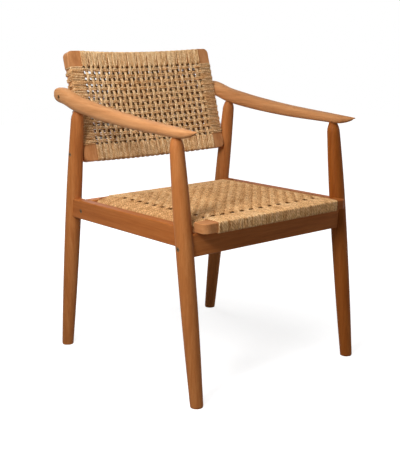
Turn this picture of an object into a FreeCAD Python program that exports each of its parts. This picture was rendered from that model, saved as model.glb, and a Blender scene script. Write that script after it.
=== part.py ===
import FreeCAD, Part
import math
import os
import re
import Sketcher

# Dining armchair: two side frames of turned legs, a rail and a carved arm, tied by a front rail, a rear
# rail and a leaning back frame, with a seat frame dropped in between. Seat and back are woven cord.
# The chair faces -Y, +Z is up, and the origin is on the floor under its middle. Left is +X.

Vector = FreeCAD.Vector
X_AXIS = Vector(1, 0, 0)
Y_AXIS = Vector(0, 1, 0)
Z_AXIS = Vector(0, 0, 1)

# Driving dimensions, in millimetres and degrees
SIZES = {
    # Side frames: their centre plane, and where each leg axis meets the floor and the arm
    "side_half": 267,
    "front_foot_y": 298.7,
    "front_neck_y": 227.3,
    "front_neck_z": 631,
    "rear_foot_y": 274.7,
    "rear_neck_y": 186.7,
    "rear_neck_z": 664.5,
    # Turned legs
    "foot_dia": 32,
    "foot_round": 3,
    "belly_dia": 42.5,
    "belly_z": 385,
    "shoulder_dia": 34,
    "shoulder_drop": 24,
    "neck_dia": 21,
    "neck_depth": 13,
    # Rails and their tenons
    "rail_top": 430,
    "side_rail_tall": 50,
    "side_rail_thick": 26,
    "front_rail_tall": 55.5,
    "front_rail_thick": 26,
    "rear_rail_tall": 50,
    "rear_rail_thick": 28,
    "rear_rail_setback": 20,
    "rail_round": 3,
    "tenon_thick": 12,
    "tenon_tall": 34,
    "tenon_past": 4,
    "tenon_fit": 0.1,
    # Cleats that carry the seat
    "cleat_wide": 24,
    "cleat_tall": 20,
    "cleat_end_gap": 4,
    # Seat frame
    "seat_rise": 7,
    "seat_bar_thick": 23,
    "seat_leg_gap": 1,
    "seat_overhang": 34,
    "seat_rear_gap": 10,
    "seat_side_bar": 40,
    "seat_side_fall": 9,
    "seat_front_bar": 50,
    "seat_rear_bar": 40,
    "seat_corner": 18,
    "seat_front_bare": 39,
    "seat_rear_bare": 7,
    "bar_round": 2,
    # Cord
    "cord_layer": 3.6,
    "weave_deep": 7.2,
    # Back frame
    "back_lean": 15.6,
    "back_tall": 300.8,
    "back_thick": 25,
    "back_leg_gap": 0.3,
    "back_stile": 40,
    "back_rail": 40,
    "back_bow": 24,
    "back_corner": 15,
    "back_bare": 44,
    "net_pitch_x": 17.5,
    "net_pitch_z": 17.8,
    "net_strand": 9,
    # Armrests
    "arm_gap": 0.3,
    "arm_rear_tall": 41.5,
    "arm_mid_low": 640,
    "arm_mid_tall": 34,
    "arm_mid_wide": 37,
    "arm_front_tall": 24,
    "arm_front_wide": 36,
    "arm_bolt_drop": 2.5,
    "arm_tail": 38,
    "arm_prow": 75,
    "arm_tip_drop": 5.5,
    "arm_tip": 3,
    "arm_oval": 2.6,
    # Bolts: shank, head, socket, and where each one sits
    "bolt_dia": 6,
    "bolt_fit": 0.25,
    "head_dia": 11.5,
    "head_tall": 4.5,
    "head_sink": 1,
    "socket_flat": 5,
    "socket_deep": 3,
    "bolt_tip": 6,
    "arm_bolt_up": 179.8,
    "arm_bolt_in": 17,
    "back_bolt_z": 550,
    "back_bolt_up": 23.7,
    "back_bolt_in": 12,
    "rear_bolt_up": 22,
    "front_bolt_up": 22.5,
    # Nuts
    "insert_dia": 10,
    "insert_long": 16,
    "barrel_dia": 10,
    "barrel_long": 16,
    "barrel_inset": 30,
    # Dowels
    "dowel_dia": 8,
    "dowel_fit": 0.05,
    "dowel_in_bar": 24,
    "dowel_in_leg": 12,
    "dowel_in_side": 14,
    "dowel_in_stile": 18,
    "dowel_room": 1,
    "front_dowel_rise": 18,
    "rear_dowel_rise": 16,
    "seat_dowel_edge": 12,
    "back_dowel_edge": 9,
    # Wood screws
    "screw_dia": 4,
    "screw_head_dia": 8,
    "screw_head_tall": 3,
    "cleat_screw_long": 38,
    "seat_screw_long": 36,
    "screw_inset": 48,
    "seat_screw_inset": 72,
}

doc = FreeCAD.newDocument("dining_armchair")
sheet = doc.addObject("Spreadsheet::Sheet", "sizes")
for row, (alias, number) in enumerate(SIZES.items(), start=1):
    sheet.set("A%d" % row, alias)
    sheet.set("B%d" % row, str(number))
    sheet.setAlias("B%d" % row, alias)
doc.recompute()

NAME = re.compile(r"[a-z_]\w*")


def cells(text):
    """Point every size named in an expression at its cell of the sheet."""
    return NAME.sub(lambda hit: "sizes." + hit.group() if hit.group() in SIZES else hit.group(), text)


def value(text):
    """Number that an expression comes to."""
    number = sheet.evalExpression(cells(text))
    return float(getattr(number, "Value", number))


def bind(thing, prop, text):
    thing.setExpression(prop, cells(text))


def place(thing, x="0", y="0", z="0", turn="0", axis="1; 0; 0"):
    """Stand an object at a point, turned about an axis through that point."""
    spot = "create(<<vector>>; %s; %s; %s)" % (x, y, z)
    spin = "create(<<rotation>>; create(<<vector>>; %s); %s)" % (axis, turn)
    bind(thing, "Placement", "create(<<placement>>; %s; %s)" % (spot, spin))


def box(name, across, along, up):
    """Block between two limits on each axis."""
    block = doc.addObject("Part::Box", name)
    for prop, (low, high) in zip(("Length", "Width", "Height"), (across, along, up)):
        bind(block, prop, "(%s) - (%s)" % (high, low))
    place(block, across[0], along[0], up[0])
    return block


def rod_x(name, dia, across, y, z):
    """Round bar along X between two limits."""
    rod = doc.addObject("Part::Cylinder", name)
    bind(rod, "Radius", "(%s) / 2" % dia)
    bind(rod, "Height", "(%s) - (%s)" % (across[1], across[0]))
    place(rod, across[0], y, z, "90", "0; 1; 0")
    return rod


def rod_z(name, dia, x, y, up):
    """Round bar along Z between two limits."""
    rod = doc.addObject("Part::Cylinder", name)
    bind(rod, "Radius", "(%s) / 2" % dia)
    bind(rod, "Height", "(%s) - (%s)" % (up[1], up[0]))
    place(rod, x, y, up[0])
    return rod


def union(name, things):
    if len(things) == 1:
        return things[0]
    whole = doc.addObject("Part::MultiFuse", name)
    whole.Shapes = things
    return whole


def cut(name, base, tools):
    rest = doc.addObject("Part::Cut", name)
    rest.Base = base
    rest.Tool = union(name + "_tools", tools)
    return rest


def mirror(name, thing):
    """The same piece on the other side of the chair."""
    copy = doc.addObject("Part::Mirroring", name)
    copy.Source = thing
    copy.Normal = X_AXIS
    return copy


def group(name, things):
    """Identical pieces that share one node, each a solid of its own."""
    whole = doc.addObject("Part::Compound", name)
    whole.Links = things
    return whole


def pin(sketch, geometry, end, across, up):
    """Hold one point of a sketch at a pair of expressions."""
    for kind, text, axis in (("DistanceX", across, -2), ("DistanceY", up, -1)):
        if text == "0":
            sketch.addConstraint(Sketcher.Constraint("PointOnObject", geometry, end, axis))
        else:
            index = sketch.addConstraint(Sketcher.Constraint(kind, -1, 1, geometry, end, value(text)))
            bind(sketch, "Constraints[%d]" % index, text)


def new_sketch(body, role):
    sketch = body.newObject("Sketcher::SketchObject", body.Name + "_sketch")
    plane = next(item for item in body.Origin.OriginFeatures if item.Role == role)
    sketch.AttachmentSupport = [(plane, "")]
    sketch.MapMode = "FlatFace"
    return sketch


def spot(pair):
    """Sketch point that a pair of expressions comes to."""
    return Vector(value(pair[0]), value(pair[1]), 0)


def padded(name, role, corners, length, reverse=False):
    """Body of one straight-sided outline, drawn out by a length."""
    body = doc.addObject("PartDesign::Body", name)
    sketch = new_sketch(body, role)
    count = len(corners)
    for index in range(count):
        ends = spot(corners[index]), spot(corners[(index + 1) % count])
        sketch.addGeometry(Part.LineSegment(*ends), False)
    for index in range(count):
        sketch.addConstraint(Sketcher.Constraint("Coincident", index, 2, (index + 1) % count, 1))
    for index, corner in enumerate(corners):
        pin(sketch, index, 1, *corner)
    return draw_out(body, sketch, length, reverse)


def draw_out(body, sketch, length, reverse):
    pad = body.newObject("PartDesign::Pad", body.Name + "_pad")
    pad.Profile = sketch
    pad.Reversed = reverse
    bind(pad, "Length", length)
    doc.recompute()
    return body


def rectangle(across, up):
    """Corners of a rectangle, counter-clockwise."""
    return [(across[0], up[0]), (across[1], up[0]), (across[1], up[1]), (across[0], up[1])]


def runs(edge, axis):
    """True for a straight edge along an axis."""
    return edge.Curve.TypeId == "Part::GeomLine" and abs(edge.Curve.Direction.dot(axis)) > 0.999


def soften(body, radius, wanted):
    """Round over the edges of a body that a test picks."""
    base = body.Tip
    edges = ["Edge%d" % (index + 1) for index, edge in enumerate(base.Shape.Edges) if wanted(edge)]
    fillet = body.newObject("PartDesign::Fillet", body.Name + "_round")
    fillet.Base = (base, edges)
    bind(fillet, "Radius", radius)
    doc.recompute()
    return body


def beam(name, across, along, up, radius, wanted=None):
    """Bar along X with rounded long edges, or only those that a test picks."""
    body = padded(name, "YZ_Plane", rectangle(along, up), "(%s) - (%s)" % (across[1], across[0]))
    place(body, across[0])
    return soften(body, radius, lambda edge: runs(edge, X_AXIS) and (wanted is None or wanted(edge)))


# Leg axes, and the level of each piece
def front_y(height):
    """Front leg axis at a height."""
    return "(-(front_foot_y - (front_foot_y - front_neck_y) * (%s) / front_neck_z))" % height


def rear_y(height):
    """Rear leg axis at a height."""
    return "(rear_foot_y - (rear_foot_y - rear_neck_y) * (%s) / rear_neck_z)" % height


FRONT_LEAN = "atan((front_foot_y - front_neck_y) / front_neck_z)"
REAR_LEAN = "atan((rear_foot_y - rear_neck_y) / rear_neck_z)"

RAIL_LOW = "(rail_top - side_rail_tall)"
RAIL_MID = "(rail_top - side_rail_tall / 2)"
RAIL_IN = "(side_half - side_rail_thick / 2)"
RAIL_OUT = "(side_half + side_rail_thick / 2)"

SEAT_TOP = "(rail_top + seat_rise)"
SEAT_LOW = "(rail_top + seat_rise - seat_bar_thick)"
SEAT_MID = "(rail_top + seat_rise - seat_bar_thick / 2)"
WRAP_TOP = "(%s + cord_layer)" % SEAT_TOP
WRAP_LOW = "(%s - cord_layer)" % SEAT_LOW

FRONT_RAIL_LOW = "(%s - front_rail_tall)" % WRAP_LOW
FRONT_BOLT_Z = "(%s + front_bolt_up)" % FRONT_RAIL_LOW
FRONT_RAIL_Y = front_y(FRONT_BOLT_Z)
LEG_IN = "(side_half - belly_dia / 2)"
LEG_OUT = "(side_half + belly_dia / 2)"

REAR_RAIL_BACK = "(%s - belly_dia / 2 - rear_rail_setback)" % rear_y(RAIL_MID)
REAR_RAIL_FRONT = "(%s - rear_rail_thick)" % REAR_RAIL_BACK
REAR_RAIL_Y = "(%s - rear_rail_thick / 2)" % REAR_RAIL_BACK
REAR_RAIL_LOW = "(rail_top - rear_rail_tall)"
REAR_BOLT_Z = "(%s + rear_bolt_up)" % REAR_RAIL_LOW

SEAT_OUT = "(%s - seat_leg_gap)" % LEG_IN
SEAT_IN = "(%s - seat_side_bar)" % SEAT_OUT
SEAT_FRONT = "(%s - front_rail_thick / 2 - seat_overhang)" % FRONT_RAIL_Y
SEAT_REAR = "(%s - seat_rear_gap)" % REAR_RAIL_FRONT
FRONT_BAR_BACK = "(%s + seat_front_bar)" % SEAT_FRONT
REAR_BAR_FRONT = "(%s - seat_rear_bar)" % SEAT_REAR
SIDE_WRAP = ("(%s + seat_front_bare)" % SEAT_FRONT, "(%s - seat_rear_bare)" % SEAT_REAR)

# The back frame stands in a frame of its own: X across, Y through its thickness, Z up the lean. Its
# bolt hole meets the rear leg axis, which gives its place, and its half width is set by that leg.
LEG_AT_BACK = ("(belly_dia - (belly_dia - shoulder_dia) * ((back_bolt_z - belly_z)"
               " / (rear_neck_z - shoulder_drop - belly_z))^2)")
BACK_OUT = "(side_half - %s / 2 - back_leg_gap)" % LEG_AT_BACK
BACK_IN = "(%s - back_stile)" % BACK_OUT
BACK_WRAPPED = "(%s - cord_layer)" % BACK_OUT
BACK_Y = "(%s - back_bolt_up * sin(back_lean) - back_bolt_in * cos(back_lean))" % rear_y("back_bolt_z")
BACK_Z = "(back_bolt_z - back_bolt_up * cos(back_lean) + back_bolt_in * sin(back_lean))"
ARM_BOLT_Y = "(%s + arm_bolt_up * sin(back_lean) + arm_bolt_in * cos(back_lean))" % BACK_Y
ARM_BOLT_Z = "(%s + arm_bolt_up * cos(back_lean) - arm_bolt_in * sin(back_lean))" % BACK_Z
BACK_FACE = ("0", "back_thick")
BACK_MID = "(back_thick / 2)"
TOP_BAR_LOW = "(back_tall - back_rail)"
BOTTOM_BAR = ("cord_layer", "back_rail")
STILE_WRAP = ("back_bare", "(back_tall - back_bare)")

ARM_REAR_WIDE = "(2 * (side_half - %s - arm_gap))" % BACK_OUT
ARM_OUT = "(side_half + %s / 2)" % ARM_REAR_WIDE


def on_back(thing):
    """Move a piece from the back frame's own frame to its place on the chair."""
    place(thing, "0", BACK_Y, BACK_Z, "-back_lean")
    return thing


# Turned legs
def leg_blank(name, lean, neck_z, foot_y, turn):
    """Leg turned about its axis: two long curves that meet at the belly, a bullet shoulder and a neck."""
    def along(height):
        return "((%s) / cos(%s))" % (height, lean)

    sole_level = "-2 * foot_round"
    shoulder_level = along("%s - shoulder_drop" % neck_z)
    end_level = along("%s + neck_depth" % neck_z)
    sole = ("foot_dia / 2 - foot_round", sole_level)
    foot = ("foot_dia / 2", "foot_round")
    belly = ("belly_dia / 2", along("belly_z"))
    shoulder = ("shoulder_dia / 2", shoulder_level)
    neck = ("neck_dia / 2", along(neck_z))
    end = ("neck_dia / 2", end_level)
    below_belly = (belly[0], "(foot_round + %s) / 2" % belly[1])
    above_belly = (belly[0], "(%s + %s) / 2" % (belly[1], shoulder_level))
    slope = "(belly_dia - shoulder_dia) / (%s - shoulder_drop - belly_z)" % neck_z
    bullet = ("shoulder_dia / 2 - shoulder_drop / 2 * %s" % slope, along("%s - shoulder_drop / 2" % neck_z))
    sides = [
        (("0", sole_level), sole),
        (sole, foot),
        (foot, below_belly, belly),
        (belly, above_belly, shoulder),
        (shoulder, bullet, neck),
        (neck, end),
        (end, ("0", end_level)),
        (("0", end_level), ("0", sole_level)),
    ]
    body = doc.addObject("PartDesign::Body", name)
    sketch = new_sketch(body, "XZ_Plane")
    for side in sides:
        points = [spot(point) for point in side]
        if len(points) == 2:
            sketch.addGeometry(Part.LineSegment(*points), False)
        else:
            curve = Part.BSplineCurve()
            curve.buildFromPolesMultsKnots(points, [3, 3], [0, 1], False, 2)
            sketch.addGeometry(curve, False)
    for index, side in enumerate(sides):
        after = (index + 1) % len(sides)
        sketch.addConstraint(Sketcher.Constraint("Coincident", index, 2, after, 1))
        if len(side) == 2:
            pin(sketch, index, 1, *side[0])
        else:
            hold_poles(sketch, index, side)
    turned = body.newObject("PartDesign::Revolution", name + "_turned")
    turned.Profile = sketch
    turned.ReferenceAxis = (sketch, ["V_Axis"])
    turned.Angle = 360
    place(body, "side_half", foot_y, "0", turn)
    doc.recompute()
    return body


def hold_poles(sketch, curve, poles):
    """Hold the control points of a curve at pairs of expressions."""
    for index, pole in enumerate(poles):
        mark = sketch.addGeometry(Part.Circle(spot(pole), Z_AXIS, 1), True)
        sketch.addConstraint(
            Sketcher.Constraint("InternalAlignment:Sketcher::BSplineControlPoint", mark, 3, curve, index))
        sketch.addConstraint(Sketcher.Constraint("Weight", mark, 1))
        if index < len(poles) - 1:
            pin(sketch, mark, 3, *pole)


front_blank = leg_blank("front_leg_blank", FRONT_LEAN, "front_neck_z", "-front_foot_y", "-" + FRONT_LEAN)
rear_blank = leg_blank("rear_leg_blank", REAR_LEAN, "rear_neck_z", "rear_foot_y", REAR_LEAN)
right_front_blank = mirror("right_front_leg_blank", front_blank)


def floor_cut(name, y):
    """What the floor takes off a leaning foot."""
    return box(name, ("side_half - foot_dia", "side_half + foot_dia"),
               ("%s - foot_dia" % y, "%s + foot_dia" % y), ("-foot_dia", "0"))


# Bolts along X: the bore with its sunk head, and the bolt itself
def bolt_span(face, end):
    """Limits of a bolt's head and shank under an outer face."""
    seat = "(%s - head_sink - head_tall)" % face
    return {"seat": seat, "top": "(%s + head_tall)" % seat, "face": face, "end": end}


def bolt_bore(name, span, y, z):
    sink_span = (span["seat"], span["face"] + " + head_dia")
    sink = rod_x(name + "_sink", "head_dia + 2 * bolt_fit", sink_span, y, z)
    shank_span = ("%s - bolt_tip" % span["end"], span["seat"] + " + bolt_fit")
    shank = rod_x(name + "_shank", "bolt_dia + 2 * bolt_fit", shank_span, y, z)
    return union(name, [sink, shank])


def bolt(name, span, y, z):
    """Round socket-head bolt, as a pair across the chair."""
    head = rod_x(name + "_head", "head_dia", (span["seat"], span["top"]), y, z)
    shank = rod_x(name + "_shank", "bolt_dia", (span["end"], span["seat"] + " + bolt_fit"), y, z)
    socket = doc.addObject("Part::Prism", name + "_socket")
    socket.Polygon = 6
    bind(socket, "Circumradius", "socket_flat / sqrt(3)")
    bind(socket, "Height", "socket_deep + head_sink")
    place(socket, "%s - socket_deep" % span["top"], y, z, "90", "0; 1; 0")
    left = cut(name + "_left", union(name + "_blank", [head, shank]), [socket])
    return group(name, [left, mirror(name + "_right", left)])


BARREL_REAR_X = "(%s - barrel_inset)" % RAIL_IN
BARREL_FRONT_X = "(%s - barrel_inset)" % LEG_IN
ARM_SPAN = bolt_span(ARM_OUT, "(%s - insert_long)" % BACK_WRAPPED)
BACK_SPAN = bolt_span("(side_half + %s / 2)" % LEG_AT_BACK, "(%s - insert_long)" % BACK_OUT)
REAR_SPAN = bolt_span(RAIL_OUT, "(%s - bolt_tip)" % BARREL_REAR_X)
FRONT_SPAN = bolt_span(LEG_OUT, "(%s - bolt_tip)" % BARREL_FRONT_X)
BACK_BOLT_Y = rear_y("back_bolt_z")

arm_bore = bolt_bore("arm_bore", ARM_SPAN, ARM_BOLT_Y, ARM_BOLT_Z)
back_bore = bolt_bore("back_bore", BACK_SPAN, BACK_BOLT_Y, "back_bolt_z")
rear_bore = bolt_bore("rear_bore", REAR_SPAN, REAR_RAIL_Y, REAR_BOLT_Z)
front_bore = bolt_bore("front_bore", FRONT_SPAN, FRONT_RAIL_Y, FRONT_BOLT_Z)

arm_bolts = bolt("arm_bolts", ARM_SPAN, ARM_BOLT_Y, ARM_BOLT_Z)
back_bolts = bolt("back_bolts", BACK_SPAN, BACK_BOLT_Y, "back_bolt_z")
rear_bolts = bolt("rear_rail_bolts", REAR_SPAN, REAR_RAIL_Y, REAR_BOLT_Z)
front_bolts = bolt("front_rail_bolts", FRONT_SPAN, FRONT_RAIL_Y, FRONT_BOLT_Z)


# Dowels along X across a joint: the pegs, and the holes for them
def dowel(name, across, y, z):
    return rod_x(name, "dowel_dia", across, y, z)


def dowel_hole(name, across, y, z):
    deep = ("%s - dowel_room" % across[0], "%s + dowel_room" % across[1])
    return rod_x(name, "dowel_dia + 2 * dowel_fit", deep, y, z)


FRONT_DOWEL_X = ("%s - dowel_in_bar" % LEG_IN, "%s + dowel_in_leg" % LEG_IN)
FRONT_DOWEL_Z = "(%s + front_dowel_rise)" % FRONT_BOLT_Z
REAR_DOWEL_X = ("%s - dowel_in_bar" % RAIL_IN, "%s + dowel_in_side" % RAIL_IN)
REAR_DOWEL_Z = "(%s + rear_dowel_rise)" % REAR_BOLT_Z
SEAT_DOWEL_X = ("%s - dowel_in_bar" % SEAT_IN, "%s + dowel_in_bar" % SEAT_IN)
BACK_DOWEL_X = ("%s - dowel_in_bar" % BACK_IN, "%s + dowel_in_stile" % BACK_IN)
SEAT_FRONT_DOWELS = ("(%s + seat_dowel_edge)" % SEAT_FRONT, "(%s - seat_dowel_edge)" % FRONT_BAR_BACK)
SEAT_REAR_DOWELS = ("(%s + seat_dowel_edge)" % REAR_BAR_FRONT, "(%s - seat_dowel_edge)" % SEAT_REAR)
TOP_DOWELS = ("(%s + back_dowel_edge)" % TOP_BAR_LOW, "(back_tall - cord_layer - back_dowel_edge)")
BOTTOM_DOWELS = ("(cord_layer + back_dowel_edge)", "(back_rail - back_dowel_edge)")


def pegs(name, across, places):
    """A joint's dowels on both sides of the chair, with the left side's holes."""
    left = [dowel("%s_%d" % (name, index), across, *where) for index, where in enumerate(places)]
    right = [mirror("%s_right_%d" % (name, index), peg) for index, peg in enumerate(left)]
    holes = [dowel_hole("%s_hole_%d" % (name, index), across, *where)
             for index, where in enumerate(places)]
    return group(name, left + right), holes


front_dowels, front_dowel_holes = pegs(
    "front_rail_dowels", FRONT_DOWEL_X, [(FRONT_RAIL_Y, FRONT_DOWEL_Z)])
rear_dowels, rear_dowel_holes = pegs("rear_rail_dowels", REAR_DOWEL_X, [(REAR_RAIL_Y, REAR_DOWEL_Z)])
seat_front_dowels, seat_front_holes = pegs(
    "seat_front_dowels", SEAT_DOWEL_X, [(y, SEAT_MID) for y in SEAT_FRONT_DOWELS])
seat_rear_dowels, seat_rear_holes = pegs(
    "seat_rear_dowels", SEAT_DOWEL_X, [(y, SEAT_MID) for y in SEAT_REAR_DOWELS])
back_top_dowels, back_top_holes = pegs(
    "back_top_dowels", BACK_DOWEL_X, [(BACK_MID, z) for z in TOP_DOWELS])
back_bottom_dowels, back_bottom_holes = pegs(
    "back_bottom_dowels", BACK_DOWEL_X, [(BACK_MID, z) for z in BOTTOM_DOWELS])
on_back(back_top_dowels)
on_back(back_bottom_dowels)


def both_sides(tools):
    """Tools for a piece that spans the chair."""
    return tools + [mirror(tool.Name + "_right", tool) for tool in tools]


# Side rails: scribed to the round legs, with a tenon into each
TENON_LOW = "(%s - tenon_tall / 2)" % RAIL_MID
TENON_TOP = "(%s + tenon_tall / 2)" % RAIL_MID
TENON_ROOT = "(belly_dia / 2 + tenon_past)"


def tenon(name, along, fit):
    """Tenon block, or with a fit the mortise for it."""
    across = ("side_half - tenon_thick / 2 - %s" % fit, "side_half + tenon_thick / 2 + %s" % fit)
    return box(name, across, along, ("%s - %s" % (TENON_LOW, fit), "%s + %s" % (TENON_TOP, fit)))


FRONT_TENON = ("%s - tenon_past" % front_y(RAIL_MID), "%s + %s" % (front_y(RAIL_MID), TENON_ROOT))
REAR_TENON = ("%s - %s" % (rear_y(RAIL_MID), TENON_ROOT), "%s + tenon_past" % rear_y(RAIL_MID))
FRONT_MORTISE = ("%s - tenon_fit" % FRONT_TENON[0], FRONT_TENON[1])
REAR_MORTISE = (REAR_TENON[0], "%s + tenon_fit" % REAR_TENON[1])

side_rail_blank = padded(
    "side_rail_blank", "YZ_Plane",
    rectangle((front_y(RAIL_MID), rear_y(RAIL_MID)), (RAIL_LOW, "rail_top")), "side_rail_thick")
place(side_rail_blank, RAIL_IN)
soften(side_rail_blank, "rail_round", lambda edge: runs(edge, Y_AXIS))
side_rail_scribed = cut("side_rail_scribed", side_rail_blank, [front_blank, rear_blank])
side_rail_whole = union("side_rail_whole", [
    side_rail_scribed,
    tenon("front_tenon", FRONT_TENON, "0"),
    tenon("rear_tenon", REAR_TENON, "0"),
])

# Screws: three through each cleat into the side rail, and two up into each seat side bar
CLEAT_IN = "(%s - cleat_wide)" % RAIL_IN
CLEAT_LOW = "(%s - cleat_tall)" % WRAP_LOW
CLEAT_MID = "(%s - cleat_tall / 2)" % WRAP_LOW
CLEAT_Y = ("(%s + front_rail_thick / 2 + belly_dia / 2)" % FRONT_RAIL_Y,
           "(%s - cleat_end_gap)" % REAR_RAIL_FRONT)
CLEAT_CENTRE = "((%s + %s) / 2)" % CLEAT_Y
CLEAT_SCREW_Y = ("(%s + screw_inset)" % CLEAT_Y[0], CLEAT_CENTRE, "(%s - screw_inset)" % CLEAT_Y[1])
SEAT_SCREW_X = "((%s + %s) / 2)" % (CLEAT_IN, SEAT_OUT)
SEAT_SCREW_Y = ("(%s + seat_screw_inset)" % CLEAT_Y[0], "(%s - seat_screw_inset)" % CLEAT_Y[1])


def cone_head(name, x, y, z, turn, axis):
    """Countersunk head that narrows to the shank."""
    head = doc.addObject("Part::Cone", name)
    bind(head, "Radius1", "screw_head_dia / 2")
    bind(head, "Radius2", "screw_dia / 2")
    bind(head, "Height", "screw_head_tall")
    place(head, x, y, z, turn, axis)
    return head


def cleat_screw(name, y):
    head = cone_head(name + "_head", CLEAT_IN, y, CLEAT_MID, "90", "0; 1; 0")
    reach = (CLEAT_IN, "%s + cleat_screw_long" % CLEAT_IN)
    shank = rod_x(name + "_shank", "screw_dia", reach, y, CLEAT_MID)
    return union(name, [head, shank])


def seat_screw(name, y):
    head = cone_head(name + "_head", SEAT_SCREW_X, y, CLEAT_LOW, "0", "0; 0; 1")
    reach = (CLEAT_LOW, "%s + seat_screw_long" % CLEAT_LOW)
    shank = rod_z(name + "_shank", "screw_dia", SEAT_SCREW_X, y, reach)
    return union(name, [head, shank])


cleat_screws_left = [cleat_screw("cleat_screw_%d" % index, y) for index, y in enumerate(CLEAT_SCREW_Y)]
seat_screws_left = [seat_screw("seat_screw_%d" % index, y) for index, y in enumerate(SEAT_SCREW_Y)]
cleat_screws = group("cleat_screws", both_sides(cleat_screws_left))
seat_screws = group("seat_screws", both_sides(seat_screws_left))

left_side_rail = cut("left_side_rail", side_rail_whole, [rear_bore] + rear_dowel_holes + cleat_screws_left)

cleat_blank = padded("cleat_blank", "YZ_Plane", rectangle(CLEAT_Y, (CLEAT_LOW, WRAP_LOW)), "cleat_wide")
place(cleat_blank, CLEAT_IN)
left_cleat = cut("left_seat_cleat", cleat_blank, cleat_screws_left + seat_screws_left)

left_front_leg = cut("left_front_leg", front_blank, [
    floor_cut("front_floor", "-front_foot_y"),
    tenon("front_mortise", FRONT_MORTISE, "tenon_fit"),
    front_bore,
] + front_dowel_holes)
left_rear_leg = cut("left_rear_leg", rear_blank, [
    floor_cut("rear_floor", "rear_foot_y"),
    tenon("rear_mortise", REAR_MORTISE, "tenon_fit"),
    back_bore,
])


# Barrel nuts stand in holes drilled from under the rails
def barrel(name, x, y, z, bore):
    reach = ("%s - barrel_long / 2" % z, "%s + barrel_long / 2" % z)
    left = cut(name + "_left", rod_z(name + "_blank", "barrel_dia", x, y, reach), [bore])
    return group(name, [left, mirror(name + "_right", left)])


def barrel_hole(name, x, y, z, low):
    return rod_z(name, "barrel_dia + 2 * bolt_fit", x, y, (low, "%s + barrel_long / 2 + bolt_fit" % z))


front_barrels = barrel("front_rail_barrel_nuts", BARREL_FRONT_X, FRONT_RAIL_Y, FRONT_BOLT_Z, front_bore)
rear_barrels = barrel("rear_rail_barrel_nuts", BARREL_REAR_X, REAR_RAIL_Y, REAR_BOLT_Z, rear_bore)

front_rail_blank = beam(
    "front_rail_blank", ("-(side_half - neck_dia / 2)", "side_half - neck_dia / 2"),
    ("%s - front_rail_thick / 2" % FRONT_RAIL_Y, "%s + front_rail_thick / 2" % FRONT_RAIL_Y),
    (FRONT_RAIL_LOW, WRAP_LOW), "rail_round")
front_barrel_hole = barrel_hole(
    "front_barrel_hole", BARREL_FRONT_X, FRONT_RAIL_Y, FRONT_BOLT_Z, FRONT_RAIL_LOW)
front_rail_tools = [front_bore, front_barrel_hole] + front_dowel_holes
front_rail_scribed = cut("front_rail_scribed", front_rail_blank, [front_blank, right_front_blank])
front_rail = cut("front_rail", front_rail_scribed, both_sides(front_rail_tools))

rear_rail_blank = beam("rear_rail_blank", ("-" + RAIL_IN, RAIL_IN), (REAR_RAIL_FRONT, REAR_RAIL_BACK),
                       (REAR_RAIL_LOW, "rail_top"), "rail_round")
rear_barrel_hole = barrel_hole("rear_barrel_hole", BARREL_REAR_X, REAR_RAIL_Y, REAR_BOLT_Z, REAR_RAIL_LOW)
rear_rail_tools = [rear_bore, rear_barrel_hole] + rear_dowel_holes
rear_rail = cut("rear_rail", rear_rail_blank, both_sides(rear_rail_tools))

# Seat frame: side bars run through, the front and rear bars are dowelled between them. The ends of the
# side bars are level; between them the top is planed down outwards, from the weave to the side rail.
def along_wrap(name, outline):
    """Straight piece of an outline, as long as the cord on a side bar."""
    body = padded(name, "XZ_Plane", outline, "(%s) - (%s)" % (SIDE_WRAP[1], SIDE_WRAP[0]), True)
    place(body, "0", SIDE_WRAP[0])
    return body


SLEEVE_IN = "(%s - cord_layer)" % SEAT_IN
SLEEVE_OUT = "(%s + cord_layer)" % SEAT_OUT
side_bar_blank = padded(
    "seat_side_bar_blank", "XY_Plane",
    rectangle((SEAT_IN, SEAT_OUT), (SEAT_FRONT, SEAT_REAR)), "seat_bar_thick")
place(side_bar_blank, "0", "0", SEAT_LOW)
bar_middle = value("(%s + %s) / 2" % (SEAT_IN, SEAT_OUT))
soften(side_bar_blank, "seat_corner", lambda edge: runs(edge, Z_AXIS) and edge.CenterOfMass.x > bar_middle)
bar_half_up = value("seat_bar_thick / 2")
soften(side_bar_blank, "bar_round", lambda edge: not runs(edge, Z_AXIS)
       and edge.CenterOfMass.x > bar_middle - 1 and edge.CenterOfMass.z > bar_half_up)
BAR_SIDE_TOP = "(%s - seat_side_fall)" % SEAT_TOP
side_bar_planed = cut("seat_side_bar_planed", side_bar_blank, [along_wrap("seat_side_plane", [
    (SEAT_IN, SEAT_TOP), (SEAT_OUT, BAR_SIDE_TOP), (SLEEVE_OUT, BAR_SIDE_TOP), (SLEEVE_OUT, WRAP_TOP),
    (SEAT_IN, WRAP_TOP)])])
left_seat_bar = cut("seat_left_bar", side_bar_planed, seat_front_holes + seat_rear_holes + seat_screws_left)
seat_front_blank = beam("seat_front_blank", ("-" + SEAT_IN, SEAT_IN), (SEAT_FRONT, FRONT_BAR_BACK),
                        (SEAT_LOW, SEAT_TOP), "bar_round")
seat_rear_blank = beam("seat_rear_blank", ("-" + SEAT_IN, SEAT_IN), (REAR_BAR_FRONT, SEAT_REAR),
                       (SEAT_LOW, SEAT_TOP), "bar_round")
seat_front_bar = cut("seat_front_bar", seat_front_blank, both_sides(seat_front_holes))
seat_rear_bar = cut("seat_rear_bar", seat_rear_blank, both_sides(seat_rear_holes))

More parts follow.
